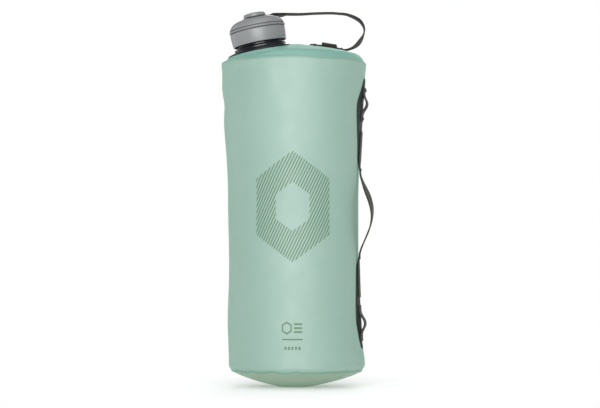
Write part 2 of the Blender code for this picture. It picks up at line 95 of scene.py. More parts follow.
# Film body
WAIST_R = 0.0521
FOOT_SWELL = 0.0015
FOOT_SPAN = (0.0400, 0.1000)
SHOULDER_SWELL = 0.0044
SHOULDER_SPAN = (0.1450, 0.2350)
FOOT_TUCK = 0.0023
RIM_FLARE = 0.0006
FOOT_LEAN = 0.0014  # a filled bottle slumps a little toward its strap at the foot
SHOULDER_LEAN = 0.0009
STRAP_FLAT = 0.0026
STRAP_FLAT_REACH = math.radians(25)
PATCHED_LOW = 0.0400
FLAT_FADE = 0.2150
CONTACT_R = 0.0110
FOOT_R = 0.0512
BOWL_EASE = 0.05
DOME_R = 0.05495
DOME_TOP = 0.2684
DOME_FALL = 3.0
DOME_SHOULDER_R = 0.0480
DOME_SHOULDER_DROP = 0.0045
SEAT_FADE = 0.0120
RIM_FADE = (0.0519, 0.05495)
HOLE_R = 0.0172
BACK_LAP = (math.radians(96), math.radians(5.0), 0.00045)   # direction, half width and height
FILM_COLUMNS = 288
FILM_ROWS = 168
FLANGE_R = 0.0268
FLANGE_UNDER = -0.0012
FLANGE_SAG = 0.0030
SEED = 7

# Threads, in the neck's frame: root and crest radii, and the height where each one starts
PITCH = 0.0040
THREAD_TURNS = 1.5
THREAD_STEPS = 72
TURNED_STEPS = 144
THREAD_FADE = 14
NECK_THREAD = (0.0179, 0.0199, 0.0070)
CAP_THREAD = (0.0206, 0.0187, 0.0086)

# Tether and eye
EYE_TURN = math.radians(20)
TONGUE_PIVOT = (0.0126, 0.0263)
TONGUE_DROOP = math.radians(7)
TONGUE_THICK = 0.0008
TONGUE_SEWN_S = (0.0010, 0.0070, 0.0125)
TETHER_WIDTH = 0.0095
TETHER_TWISTS = ((math.radians(-7), 0.530, 0.060), (math.radians(15), 0.705, 0.045))
TETHER_OVER = (
    (0.0040, 0.0092, 0.2946), (0.0145, 0.0094, 0.2952), (0.0270, 0.0080, 0.29535),
    (0.0345, 0.0066, 0.2948), (0.0420, 0.0050, 0.2935), (0.0508, 0.0032, 0.2890),
    (0.0547, 0.0022, 0.2826), (0.0534, 0.0012, 0.2754), (0.0478, 0.0004, 0.2684),
)
TETHER_SEWN_X = (0.0400, 0.0330, 0.0220, 0.0120)
KEEPER_THICK = 0.0016

# Carrying strap
STRAP_FREE = (0.1035, 0.1675)
STRAP_SEWN = (0.0700, 0.2000)
STRAP_BULGE = 0.0099
STRAP_WIDTH = 0.0120
STRAP_NECK = 0.0042
STRAP_FLARE = 0.0180
TAIL_WIDTH = 0.0092
LASH_WIDTH = 0.0110
LASH_BULGE = 0.0030
LASH_SEWN = 0.0045
STRAP_OVERLAP = 0.0004

# Patches: heights of the strap's end, the widest place and the tip, and half width at the widest
PATCH_UPPER = (0.1749, 0.2190, 0.2416, 0.0152)
PATCH_LOWER = (0.0969, 0.0520, 0.0299, 0.0125)
PATCH_HALF = (0.0065, 0.0040)   # at the strap's end and at the tip
PATCH_TOP = 0.0006
ANCHOR_TOP = 0.0007
ANCHOR_CORNER = 0.0025
UNDERSIDE = 0.0001

# Stitch bars: length along the strap, the thread's radius, and how far each bar lies under the
# middle of its CAD bar, which stands clear of the webbing
TACK = 0.0020
THREAD = 0.00014
SUNK = {"upper_lash": 0.0016, "lower_lash": 0.0016, "handle": 0.0008}
TETHER_SUNK = 0.0012


def smooth(t):
    t = np.clip(t, 0.0, 1.0)
    return t * t * (3 - 2 * t)


def ramp(value, start, end):
    return smooth((value - start) / (end - start))


def mix(a, b, t):
    return a + (b - a) * t


def wrapped(angle):
    """An angle brought to between -pi and pi."""
    return (angle + math.pi) % TURN - math.pi


def spread(count):
    """Angles evenly spread round a circle."""
    return np.linspace(0, TURN, count, endpoint=False)


def polar(radius, angle, z):
    """Points at a radius and an angle round the Z axis."""
    return np.stack([radius * np.cos(angle), radius * np.sin(angle), z], axis=-1)


def unit(ways):
    """Directions brought to length 1."""
    return ways / np.linalg.norm(ways, axis=-1, keepdims=True)


def run_lengths(points):
    """How far along a line of points each one lies."""
    return np.concatenate([[0], np.cumsum(np.linalg.norm(np.diff(points, axis=0), axis=1))])


def linked(name, data):
    """A new object in the scene, for a mesh, lamp or camera."""
    thing = bpy.data.objects.new(name, data)
    bpy.context.scene.collection.objects.link(thing)
    return thing


def rework(mesh, edit):
    """Edits a mesh by a function of its bmesh."""
    work = bmesh.new()
    work.from_mesh(mesh)
    edit(work)
    work.to_mesh(mesh)
    work.free()


# ---- Meshes ----

def mesh_object(name, points, faces, uvs, material):
    """A smooth-shaded object from points, faces and one UV pair for each face corner."""
    mesh = bpy.data.meshes.new(name)
    mesh.from_pydata([tuple(p) for p in points], [], [tuple(int(i) for i in f) for f in faces])
    layer = mesh.uv_layers.new(name="metres")
    layer.data.foreach_set("uv", np.asarray(uvs, np.float32).ravel())
    mesh.materials.append(material)
    mesh.shade_smooth()
    mesh.set_sharp_from_angle(angle=SHARP)
    rework(mesh, lambda work: bmesh.ops.recalc_face_normals(work, faces=work.faces))
    return linked(name, mesh)


def grid_faces(index, uv):
    """The quads of a grid of vertex numbers, and their corners' UVs."""
    corners = ((slice(None, -1), slice(None, -1)), (slice(None, -1), slice(1, None)),
               (slice(1, None), slice(1, None)), (slice(1, None), slice(None, -1)))
    faces = np.stack([index[c] for c in corners], axis=-1).reshape(-1, 4)
    spots = np.stack([uv[c] for c in corners], axis=-2).reshape(-1, 2)
    return faces, spots


def shell(name, outer, inner, closed, uv, material):
    """A closed body between two grids of points, of rows x columns. With closed, the columns run
    all the way round, and uv has one column more than the points."""
    rows, columns = outer.shape[:2]
    count = rows * columns
    points = np.concatenate([outer.reshape(-1, 3), inner.reshape(-1, 3)])
    index = np.arange(count).reshape(rows, columns)
    if closed:
        index = np.concatenate([index, index[:, :1]], axis=1)
    grids = [
        (index, uv),
        (index[:, ::-1] + count, uv[:, ::-1]),
        (np.stack([index[0] + count, index[0]]), np.stack([uv[0], uv[0]])),
        (np.stack([index[-1], index[-1] + count]), np.stack([uv[-1], uv[-1]])),
    ]
    if not closed:
        first, last = index[:, 0], index[:, -1]
        grids.append((np.stack([first, first + count], axis=1), np.stack([uv[:, 0]] * 2, axis=1)))
        grids.append((np.stack([last + count, last], axis=1), np.stack([uv[:, -1]] * 2, axis=1)))
    made = [grid_faces(*pair) for pair in grids]
    faces = np.concatenate([faces for faces, _ in made])
    spots = np.concatenate([spots for _, spots in made])
    return mesh_object(name, points, faces, spots, material)


def loft(name, sections, lengths, material):
    """A closed body through closed sections, an array of sections x points x 3."""
    index = np.arange(sections[..., 0].size).reshape(sections.shape[:2])
    index = np.concatenate([index, index[:, :1]], axis=1)
    loop = np.concatenate([sections[0], sections[0][:1]])
    uv = np.stack(np.meshgrid(run_lengths(loop), lengths), axis=-1)
    faces, spots = grid_faces(index, uv)
    faces = [*faces.tolist(), index[0, :-1][::-1].tolist(), index[-1, :-1].tolist()]
    ends = [uv[0, :-1][::-1], uv[-1, :-1]]
    spots = np.concatenate([spots, *ends])
    return mesh_object(name, sections.reshape(-1, 3), faces, spots, material)


def rounded(profile, radius, steps=3):
    """A profile with its corners eased. Points on the axis stay."""
    found = []
    last = len(profile) - 1
    open_ended = profile[0][0] == 0
    for i, here in enumerate(profile):
        if open_ended and i in (0, last):
            found.append(tuple(here))
            continue
        before = np.subtract(profile[i - 1], here)
        after = np.subtract(profile[(i + 1) % len(profile)], here)
        reach = [min(radius, 0.45 * np.linalg.norm(way)) for way in (before, after)]
        start = here + before / np.linalg.norm(before) * reach[0]
        end = here + after / np.linalg.norm(after) * reach[1]
        for k in range(steps + 1):
            t = k / steps
            found.append(tuple((1 - t) ** 2 * start + 2 * t * (1 - t) * np.array(here) + t * t * end))
    return found


def turned(name, profile, ease, material):
    """A solid of revolution about the neck's axis, with eased corners."""
    steps = TURNED_STEPS
    outline = np.array(rounded(profile, ease))
    on_axis = profile[0][0] == 0
    length = run_lengths(outline)
    uv_round = np.linspace(0, TURN, steps + 1) * outline[:, 0].max()
    body = outline[1:-1] if on_axis else outline
    rings = polar(body[:, 0, None], spread(steps), np.repeat(body[:, 1, None], steps, axis=1))
    index = np.arange(rings.shape[0] * steps).reshape(-1, steps)
    index = np.concatenate([index, index[:, :1]], axis=1)
    along = length[1:-1] if on_axis else length
    points = rings.reshape(-1, 3)
    if not on_axis:
        index = np.concatenate([index, index[:1]])
        closing = np.linalg.norm(outline[-1] - outline[0])
        along = np.concatenate([along, [along[-1] + closing]])
    uv = np.stack(np.meshgrid(uv_round, along), axis=-1)
    faces, spots = grid_faces(index, uv)
    faces = faces.tolist()
    if on_axis:
        for ring, row, height, at in ((index[0], uv[0], outline[0], 0.0),
                                      (index[-1], uv[-1], outline[-1], length[-1])):
            hub = len(points)
            points = np.concatenate([points, [[0, 0, height[1]]]])
            for k in range(steps):
                faces.append([hub, ring[k + 1], ring[k]])
                middle = (row[k, 0] + row[k + 1, 0]) / 2
                spots = np.concatenate([spots, [[middle, at], row[k + 1], row[k]]])
    thing = mesh_object(name, points, faces, spots, material)
    thing.data.transform(NECK_FRAME)
    return thing


def curve_through(points, per_span):
    """Points along a smooth curve through the given points."""
    points = [np.array(p, float) for p in points]
    padded = [2 * points[0] - points[1], *points, 2 * points[-1] - points[-2]]
    found = []
    for i in range(1, len(padded) - 2):
        a, b, c, d = padded[i - 1:i + 3]
        for k in range(per_span):
            t = k / per_span
            found.append(0.5 * (2 * b + (c - a) * t + (2 * a - 5 * b + 4 * c - d) * t * t
                                + (3 * b - a - 3 * c + d) * t ** 3))
    return np.array([*found, points[-1]])


def directions(points):
    """Unit directions along a line of points."""
    return unit(np.gradient(points, axis=0))


def strap(name, centres, across, widths, thickness, material):
    """A strap of webbing: a flat section with round edges and raised selvages. across gives the
    direction of its width at each point."""
    ahead = directions(centres)
    up = unit(np.cross(ahead, across))
    side = np.cross(up, ahead)
    half = thickness / 2
    top = np.linspace(-1, 1, 15)
    selvage = 1 + 0.16 * np.exp(-(((np.abs(top) - 0.86) / 0.07) ** 2))
    turns = np.linspace(math.pi / 2, -math.pi / 2, 7)[1:-1]
    spots = []
    widths = np.broadcast_to(widths, len(centres))
    for i, centre in enumerate(centres):
        flat = widths[i] / 2 - half
        upper = [(flat * t, half * s) for t, s in zip(top, selvage)]
        right = [(flat + half * math.cos(a), half * math.sin(a)) for a in turns]
        lower = [(flat * t, -half * s) for t, s in zip(top[::-1], selvage[::-1])]
        left = [(-flat - half * math.cos(a), -half * math.sin(a)) for a in turns]
        spots.append([centre + side[i] * x + up[i] * y for x, y in (*upper, *right, *lower, *left)])
    return loft(name, np.array(spots), run_lengths(centres), material)


def stitches(name, centre, along, across, length, width, sink=0.0005):
    """A bartack: thread laid to and fro over a strap's edge-to-edge seam."""
    up = unit(np.cross(along, across))
    strands, per = 30, 8
    t = np.linspace(0, 1, strands * per + 1)
    swing = np.arcsin(0.985 * np.sin(t * strands * math.pi + 0.3)) / math.asin(0.985)
    lift = THREAD * 0.55 * np.cos(t * strands * TURN)
    path = (np.array(centre) - up * sink + np.outer((t - 0.5) * width, across)
            + np.outer(swing * length / 2, along) + np.outer(lift, up))
    ahead = directions(path)
    left = unit(np.cross(np.broadcast_to(up, path.shape), ahead))
    above = np.cross(ahead, left)
    turns = spread(8)
    sections = (path[:, None] + THREAD * (np.cos(turns)[None, :, None] * left[:, None]
                                          + np.sin(turns)[None, :, None] * above[:, None]))
    return loft(name, sections, run_lengths(path), THREAD_LOOK)


# ---- Materials ----

class Graph:
    """A material's nodes, made one after another."""

    def __init__(self, name, colour, roughness, **settings):
        self.material = bpy.data.materials.new(name)
        self.material.use_nodes = True
        self.material.diffuse_color = (*colour, 1.0)
        self.tree = self.material.node_tree
        self.shader = self.tree.nodes["Principled BSDF"]
        self.put("Base Color", (*colour, 1.0))
        self.put("Roughness", roughness)
        for key, value in settings.items():
            self.put(key.replace("_", " "), value)
        self.height = None

    def put(self, socket, value):
        """Sets or feeds one of the shader's sockets."""
        self.feed(self.shader.inputs[socket], value)

    def feed(self, socket, value):
        if isinstance(value, bpy.types.NodeSocket):
            self.tree.links.new(value, socket)
        else:
            socket.default_value = value

    def add(self, kind, inputs, out=0, **settings):
        """A node with some inputs fed, by name or number, and one of its outputs."""
        made = self.tree.nodes.new(kind)
        for key, value in settings.items():
            setattr(made, key, value)
        for key, value in inputs.items():
            self.feed(made.inputs[key], value)
        return made.outputs[out]

    def math(self, operation, a, b=0.0, c=0.0):
        return self.add("ShaderNodeMath", {0: a, 1: b, 2: c}, operation=operation)

    def plus(self, a, b):
        return self.math("ADD", a, b)

    def less(self, a, b):
        return self.math("SUBTRACT", a, b)

    def size(self, a):
        return self.math("ABSOLUTE", a)

    def times(self, found, *values):
        for value in values:
            found = self.math("MULTIPLY", found, value)
        return found

    def under(self, value, edge, blur):
        """1 where a value is under an edge, 0 over it, blurred between."""
        return self.between(value, 1.0, 0.0, edge - blur, edge + blur)

    def metres(self):
        """The UV map as two numbers, across and along."""
        spot = self.add("ShaderNodeUVMap", {}, uv_map="metres")
        split = self.tree.nodes.new("ShaderNodeSeparateXYZ")
        self.tree.links.new(spot, split.inputs[0])
        return spot, split.outputs[0], split.outputs[1]

    def noise(self, scale, detail=3.0, vector=None, roughness=0.5):
        """Noise of a scale, in repeats per metre, in the piece's own coordinates."""
        if vector is None:
            vector = self.add("ShaderNodeTexCoord", {}, out=3)
        return self.add("ShaderNodeTexNoise",
                        {"Vector": vector, "Scale": scale, "Detail": detail, "Roughness": roughness})

    def between(self, value, low, high, start=0.0, end=1.0):
        """A value brought from one range to another, and kept in it."""
        return self.add("ShaderNodeMapRange",
                        {"Value": value, 1: start, 2: end, 3: low, 4: high}, clamp=True)

    def blend(self, a, b, share):
        """A colour between two."""
        colours = {6: a if isinstance(a, bpy.types.NodeSocket) else (*a, 1.0),
                   7: b if isinstance(b, bpy.types.NodeSocket) else (*b, 1.0)}
        return self.add("ShaderNodeMix", {0: share, **colours}, out=2, data_type="RGBA")

    def bump(self, height, distance, strength=1.0):
        """Adds relief of a depth in metres to what the shader has already."""
        inputs = {"Height": height, "Distance": distance, "Strength": strength}
        if self.height is not None:
            inputs["Normal"] = self.height
        self.height = self.add("ShaderNodeBump", inputs)
        self.put("Normal", self.height)


# The print: a hatched six-sided ring, and under it a small ring, a bar and a row of ticks.
PRINT_MIDDLE = -0.0018
PRINT_HEIGHT = 0.1400
PRINT_STRETCH = 0.80
PRINT_OUTER = 0.0295
PRINT_INNER = 0.0130
HATCH_PITCH = 0.00212
HATCH_SHARE = 0.46
HATCH_LEAN = math.radians(64)
MARK_BLUR = 0.00012
MARK_HEIGHT = 0.0475   # middles of the small marks, above the ground
BAR_HEIGHT = 0.0388
TICK_HEIGHT = 0.0322
MARK_SIDE = 0.0042
INK = (0.030, 0.128, 0.036)
WELD_TINT = (0.080, 0.235, 0.155)


def hexagon(graph, x, y, stretch):
    """How far a point is from the middle of a tall six-sided shape, to a side."""
    tall = graph.times(graph.size(y), stretch)
    wide = graph.size(x)
    slant = graph.plus(graph.times(wide, 0.5), graph.times(tall, 0.866))
    return graph.math("MAXIMUM", wide, slant)


def bar_mark(graph, x, y, half_width, half_height):
    across = graph.less(graph.size(x), half_width)
    tall = graph.less(graph.size(y), half_height)
    return graph.under(graph.math("MAXIMUM", across, tall), 0.0, MARK_BLUR)


def print_mask(graph, u, v):
    """Where the ink is on the film's front."""
    x = graph.less(u, PRINT_MIDDLE)
    y = graph.less(v, PRINT_HEIGHT)
    away = hexagon(graph, x, y, PRINT_STRETCH)
    ring = graph.times(graph.under(away, PRINT_OUTER, MARK_BLUR),
                   graph.less(1.0, graph.under(away, PRINT_INNER, MARK_BLUR)))
    over = graph.less(graph.times(x, math.sin(HATCH_LEAN) / HATCH_PITCH),
                      graph.times(y, math.cos(HATCH_LEAN) / HATCH_PITCH))
    wave = graph.size(graph.less(graph.math("FRACT", over), 0.5))
    hatch = graph.under(wave, HATCH_SHARE / 2, MARK_BLUR / HATCH_PITCH)
    marks = [graph.times(ring, hatch)]
    low = graph.less(v, MARK_HEIGHT)
    small = hexagon(graph, graph.plus(x, MARK_SIDE), low, 0.85)
    line = graph.size(graph.less(small, 0.0032))
    marks.append(graph.under(line, 0.00052, MARK_BLUR))
    for k in range(3):
        level = graph.less(low, (k - 1) * 0.0030)
        marks.append(bar_mark(graph, graph.less(x, MARK_SIDE), level, 0.0031, 0.00076))
    marks.append(bar_mark(graph, x, graph.less(v, BAR_HEIGHT), 0.0075, 0.00060))
    ticks = graph.less(v, TICK_HEIGHT)
    for k in range(5):
        at = (k - 2) * 0.0026
        marks.append(bar_mark(graph, graph.less(x, at), ticks, 0.0008, 0.0012))
    found = marks[0]
    for mark in marks[1:]:
        found = graph.math("MAXIMUM", found, mark)
    return found


def film_material(name, tint, deep, printed=False):
    """Satin translucent film: a fine matt grain, slow changes of tone, deeper along its welds."""
    made = Graph(name, tint, 0.60, Subsurface_Weight=0.25, Subsurface_Scale=0.003,
                 Subsurface_Radius=(0.7, 1.0, 0.85), IOR=1.75, Specular_IOR_Level=0.85,
                 Sheen_Weight=0.45, Sheen_Roughness=0.45, Sheen_Tint=(0.10, 0.34, 0.22, 1.0))
    spot, u, v = made.metres()
    cloud = made.noise(22.0, 4.0, spot)
    mottle = made.noise(310.0, 3.0, spot, 0.6)
    tone = made.blend(tint, deep, made.between(cloud, 0.0, 0.50, 0.35, 0.72))
    tone = made.blend(tone, deep, made.between(mottle, 0.0, 0.12, 0.45, 0.75))
    if printed:
        weld = made.math("MAXIMUM", made.between(v, 1.0, 0.0, SEAM_LOW + 0.0012, SEAM_LOW + 0.0027),
                         made.between(v, 0.0, 0.45, SEAM_HIGH - 0.0022, SEAM_HIGH - 0.0010))
        tone = made.blend(tone, WELD_TINT, made.times(weld, 0.80))
        ink = print_mask(made, u, v)
        worn = made.between(made.noise(2600.0, 2.0, spot), 0.80, 1.0, 0.30, 0.50)
        tone = made.blend(tone, INK, made.times(ink, worn))
        made.bump(ink, 0.00003)
    made.put("Base Color", tone)
    made.put("Roughness", made.between(made.noise(90.0, 3.0, spot), 0.56, 0.66, 0.3, 0.7))
    made.bump(made.noise(160.0, 2.0, spot), 0.00012, 0.6)
    made.bump(made.noise(2400.0, 2.0, spot, 0.6), 0.00002, 0.7)
    return made.material


def woven_material(name, dark, light, pitch, rows):
    """Woven webbing: yarns that run along it, each crossed in turn, which makes a slanting twill."""
    made = Graph(name, dark, 0.82, Sheen_Weight=0.08, Sheen_Roughness=0.45)
    spot, u, v = made.metres()
    across = made.math("DIVIDE", u, pitch)
    column = made.math("FLOOR", across)
    in_yarn = made.less(made.math("FRACT", across), 0.5)
    along = made.plus(made.math("DIVIDE", v, rows), made.times(column, 0.25))
    in_cross = made.less(made.math("FRACT", along), 0.5)
    crown_u = made.less(1.0, made.times(in_yarn, in_yarn, 3.6))
    crown_v = made.less(1.0, made.times(in_cross, in_cross, 3.2))
    crown = made.times(crown_u, crown_v)
    cell = made.add("ShaderNodeCombineXYZ", {0: column, 1: made.math("FLOOR", along)})
    chance = made.add("ShaderNodeTexWhiteNoise", {"Vector": cell}, out=0, noise_dimensions="2D")
    fibres = made.noise(9000.0, 2.0, spot, 0.6)
    # Each yarn's crown is painted paler, a painted highlight, and the tone also varies at random from
    # yarn to yarn and fibre to fibre.
    shade = made.plus(made.times(crown, 0.55), made.times(chance, 0.25))
    shade = made.plus(shade, made.times(fibres, 0.25))
    made.put("Base Color", made.blend(dark, light, made.between(shade, 0.0, 1.0, 0.30, 1.05)))
    made.put("Roughness", made.between(fibres, 0.70, 0.92, 0.3, 0.7))
    made.bump(crown, 0.00016)
    made.bump(fibres, 0.00003, 0.7)
    return made.material


def patch_material():
    """Coated plain-weave cloth: fine crossed yarns under a thin film, paler where it is rubbed."""
    dark, light = (0.006, 0.011, 0.009), (0.019, 0.028, 0.024)
    made = Graph("coated_cloth", dark, 0.60, Specular_IOR_Level=0.35)
    spot, u, v = made.metres()
    pitch = 0.00052
    over = made.math("SINE", made.times(u, 2 * math.pi / pitch))
    under = made.math("SINE", made.times(v, 2 * math.pi / pitch))
    weave = made.times(over, under)
    rub = made.noise(420.0, 4.0, spot, 0.6)
    shade = made.plus(made.times(weave, 0.18), rub)
    made.put("Base Color", made.blend(dark, light, made.between(shade, 0.0, 1.0, 0.35, 0.85)))
    made.put("Roughness", made.between(rub, 0.56, 0.72, 0.35, 0.65))
    made.bump(weave, 0.00005)
    made.bump(made.noise(260.0, 3.0, spot), 0.00025, 0.5)
    return made.material


def moulded_material(name, tint, pale, roughness, grain, depth, **settings):
    """A moulded plastic: fine grain, slow flow marks, and a little wear in its tone."""
    made = Graph(name, tint, roughness, **settings)
    mottle = 0.25
    flow = made.noise(55.0, 5.0)
    specks = made.noise(1400.0, 3.0, None, 0.7)
    tone = made.blend(tint, pale, made.between(flow, 0.0, mottle, 0.35, 0.70))
    tone = made.blend(tone, pale, made.between(specks, 0.0, mottle, 0.52, 0.80))
    made.put("Base Color", tone)
    made.put("Roughness", made.between(flow, roughness - 0.05, roughness + 0.07, 0.3, 0.7))
    made.bump(made.noise(grain, 2.0, None, 0.6), depth, 0.6)
    made.bump(made.noise(130.0, 2.0), 0.00010, 0.35)
    return made.material


def thread_material():
    made = Graph("bonded_thread", (0.016, 0.018, 0.017), 0.55)
    _, u, v = made.metres()
    ply = made.math("SINE", made.plus(made.times(v, 2 * math.pi / 0.0007),
                                      made.times(u, 2 * math.pi / 0.0006)))
    made.put("Base Color", made.blend((0.010, 0.012, 0.011), (0.040, 0.042, 0.038),
                                      made.between(ply, 0.0, 1.0, -0.6, 1.0)))
    made.bump(ply, 0.00004, 0.8)
    return made.material


FILM_LOOK = film_material("film", (0.246, 0.386, 0.324), (0.208, 0.360, 0.288), printed=True)
BOWL_LOOK = film_material("bowl_film", (0.275, 0.370, 0.270), (0.225, 0.325, 0.230))
CROWN_LOOK = film_material("crown_film", (0.170, 0.370, 0.310), (0.138, 0.330, 0.270))
WEBBING_LOOK = woven_material("webbing", (0.006, 0.007, 0.005), (0.056, 0.054, 0.038), 0.00085, 0.0019)
LASH_LOOK = woven_material("fine_webbing", (0.006, 0.008, 0.007), (0.046, 0.052, 0.043), 0.0006, 0.0014)
PATCH_LOOK = patch_material()
THREAD_LOOK = thread_material()
CAP_LOOK = moulded_material("cap_plastic", (0.215, 0.222, 0.228), (0.27, 0.275, 0.28),
                            0.40, 3200.0, 0.00003, Specular_IOR_Level=0.8)
RING_LOOK = moulded_material("ring_plastic", (0.190, 0.194, 0.198), (0.24, 0.245, 0.25),
                             0.44, 3200.0, 0.00003, Specular_IOR_Level=0.7)
NECK_LOOK = moulded_material("neck_plastic", (0.006, 0.007, 0.012), (0.014, 0.015, 0.024),
                             0.27, 900.0, 0.00001, Specular_IOR_Level=0.35, Coat_Weight=0.15,
                             Coat_Roughness=0.12)
EYE_LOOK = moulded_material("eye_plastic", (0.008, 0.009, 0.009), (0.016, 0.017, 0.017),
                            0.60, 2600.0, 0.00003)
SILICONE_LOOK = moulded_material("silicone", (0.62, 0.63, 0.62), (0.72, 0.72, 0.71),
                                 0.55, 2000.0, 0.00002)


# ---- Film body ----

def body_radius(z, angle):
    """Outside radius of the side film before its folds and dents."""
    radius = WAIST_R + FOOT_SWELL * (1 - ramp(z, *FOOT_SPAN)) + SHOULDER_SWELL * ramp(z, *SHOULDER_SPAN)
    radius = radius - FOOT_TUCK * (1 - ramp(z, SEAM_LOW, SEAM_LOW + LAP))
    radius = radius + RIM_FLARE * ramp(z, SEAM_HIGH - 0.0110, SEAM_HIGH - 0.0010)
    lean = FOOT_LEAN * (1 - ramp(z, 0.020, 0.070)) - SHOULDER_LEAN * ramp(z, *SHOULDER_SPAN)
    radius = radius + lean * np.cos(angle)
    away = wrapped(angle - STRAP_ANGLE) / STRAP_FLAT_REACH
    held = ramp(z, SEAM_LOW + LAP, PATCHED_LOW) * (1 - ramp(z, FLAT_FADE, SEAM_HIGH - LAP))
    return radius - STRAP_FLAT * np.exp(-away * away) * held


def bowl_height(radius):
    share = np.maximum(0.0, radius - CONTACT_R) / (FOOT_R - CONTACT_R)
    share = (np.sqrt(share ** 2 + BOWL_EASE ** 2) - BOWL_EASE) / (math.hypot(1, BOWL_EASE) - BOWL_EASE)
    return SEAM_LOW * (0.75 * share + 0.25 * share ** 4)


def panel_height(x, y):
    """Height of the top panel's outside: a dome, flat where the neck's flange lies on it."""
    radius = np.hypot(x, y)
    shoulder = np.maximum(0.0, radius - DOME_SHOULDER_R) / (DOME_R - DOME_SHOULDER_R)
    dome = DOME_TOP - DOME_FALL * radius * radius - DOME_SHOULDER_DROP * shoulder ** 3
    across = x - NECK.x
    seat = NECK.z + (FLANGE_UNDER - GAP - across * math.sin(NECK_TILT)) / math.cos(NECK_TILT)
    distance = np.hypot(across / math.cos(NECK_TILT), y)
    edge = FLANGE_R + 0.0004
    free = np.maximum(ramp(distance, edge, edge + SEAT_FADE), ramp(radius, *RIM_FADE))
    return mix(seat, dome, free)


def make_folds(count, seed, depth, width, length):
    """Folds that run in from a seam: angle, depth, half width and length of each."""
    draw = np.random.default_rng(seed)
    turns = (np.arange(count) + draw.uniform(-0.35, 0.35, count)) * TURN / count
    return list(zip(turns, draw.uniform(*depth, count), draw.uniform(*width, count),
                    draw.uniform(*length, count)))


TOP_FOLDS = make_folds(21, SEED, (0.00015, 0.00065), (0.028, 0.070), (0.006, 0.024))
LOW_FOLDS = make_folds(17, SEED + 1, (0.00025, 0.00070), (0.035, 0.080), (0.005, 0.016))

# Dents of the wall: direction in degrees, height, depth, reach round in degrees, reach up, slant
DENTS = (
    (184, 0.2215, 0.0014, 24, 0.0100, 0.10), (172, 0.2330, -0.0005, 20, 0.0080, 0.0),
    (-62, 0.2375, 0.0005, 12, 0.0080, -0.35), (-38, 0.2330, 0.0006, 13, 0.0100, 0.25),
    (178, 0.1450, -0.0005, 26, 0.0300, 0.0), (190, 0.0700, 0.0005, 22, 0.0200, 0.15),
    (-120, 0.0320, 0.0004, 18, 0.0120, -0.2), (60, 0.1900, 0.0010, 20, 0.0280, 0.2),
    (105, 0.1150, 0.0012, 26, 0.0350, -0.2), (140, 0.0550, 0.0008, 18, 0.0180, 0.2),
    (40, 0.0600, 0.0007, 16, 0.0200, 0.1), (130, 0.2250, 0.0009, 17, 0.0120, -0.3),
    (25, 0.1380, 0.0006, 10, 0.0250, 0.0),
)


def fold_depth(folds, angle, distance):
    """How far the folds of one seam pull a surface in, at a distance from the seam."""
    found = 0.0
    start = 0.35 + 0.65 * smooth(distance / 0.0035)
    for turn, depth, width, length in folds:
        away = wrapped(angle - turn) / (width * (1 + distance / length))
        found = found + depth * np.exp(-away * away - distance / length) * start
    return found


def foot_scallops(angle):
    """How far the bottom weld rises where its folds gather the film."""
    found = 0.00015 * np.sin(9 * angle + 1.1)
    for turn, depth, width, _ in LOW_FOLDS:
        found = found + 1.9 * depth * np.exp(-((wrapped(angle - turn) / (1.4 * width)) ** 2))
    return found


def film_offset(z, angle):
    """How far the wall stands outside its plain shape: dents, folds at both seams, slow lumps and
    the lap of the weld that closes the tube at the back."""
    found = 0.00016 * np.sin(3 * angle + 9 * z / 0.25) * np.sin(z * 46 + 1.3)
    found = found + 0.00012 * np.sin(5 * angle - 14 * z / 0.25 + 0.8)
    for turn, height, depth, reach, rise, slant in DENTS:
        round_it = wrapped(angle - math.radians(turn)) / math.radians(reach)
        up = (z - height) / rise - slant * round_it
        found = found - depth * np.exp(-round_it ** 2 - up * up)
    found = found - fold_depth(TOP_FOLDS, angle, np.maximum(0, SEAM_HIGH - z))
    found = found - fold_depth(LOW_FOLDS, angle, np.maximum(0, z - SEAM_LOW))
    held = np.abs(wrapped(angle - STRAP_ANGLE))
    found = found * ramp(held, math.radians(17), math.radians(34))
    at, half, height = BACK_LAP
    lap = np.abs(wrapped(angle - at))
    return found + height * (1 - ramp(lap, 0.92 * half, 1.08 * half))


def film_heights():
    """Rows for the wall, close together near its seams."""
    share = np.linspace(0, 1, FILM_ROWS)
    eased = share - 0.11 * np.sin(TURN * share)
    return mix(SEAM_LOW, SEAM_HIGH, eased)


def make_side_film():
    """The wall. Its columns and its UVs run from the back round to the back again."""
    heights = film_heights()
    angle, z = np.meshgrid(math.pi / 2 + spread(FILM_COLUMNS), heights)
    radius = body_radius(z, angle) + film_offset(z, angle)
    radius = radius - 0.0004 * ramp(z, SEAM_HIGH - 0.0010, SEAM_HIGH) ** 2
    high = 0.00022 * np.sin(7 * angle + 0.5) + 0.00014 * np.sin(12 * angle)
    low = foot_scallops(angle)
    z = z + high * ramp(z, SEAM_HIGH - 0.004, SEAM_HIGH) + low * ramp(-z, -SEAM_LOW - 0.006, -SEAM_LOW)
    around = (np.linspace(0, TURN, FILM_COLUMNS + 1) - math.pi) * WAIST_R
    uv = np.stack(np.meshgrid(around, heights), axis=-1)
    outer, inner = polar(radius, angle, z), polar(radius - FILM, angle, z)
    return shell("side_film_wall", outer, inner, True, uv, FILM_LOOK)


def lap_radius(z, angle, seam):
    """Outside radius of an end panel's lap. It stays inside the side film when that is folded up
    against its seam too, so it tapers as the film does over a longer stretch."""
    reach = seam + (z - seam) / COLLAPSED
    found = [body_radius(at, angle) + np.minimum(0.0, film_offset(at, angle))
             for at in (z, mix(z, reach, 0.5), reach)]
    return np.minimum.reduce(found) - FILM - 0.00012


def fan_uv(columns, flow):
    """UVs of a round panel, whose rows lie at these lengths from its middle."""
    way, along = np.meshgrid(np.linspace(0, TURN, columns + 1), flow)
    return np.stack([along * np.cos(way), along * np.sin(way)], axis=-1)


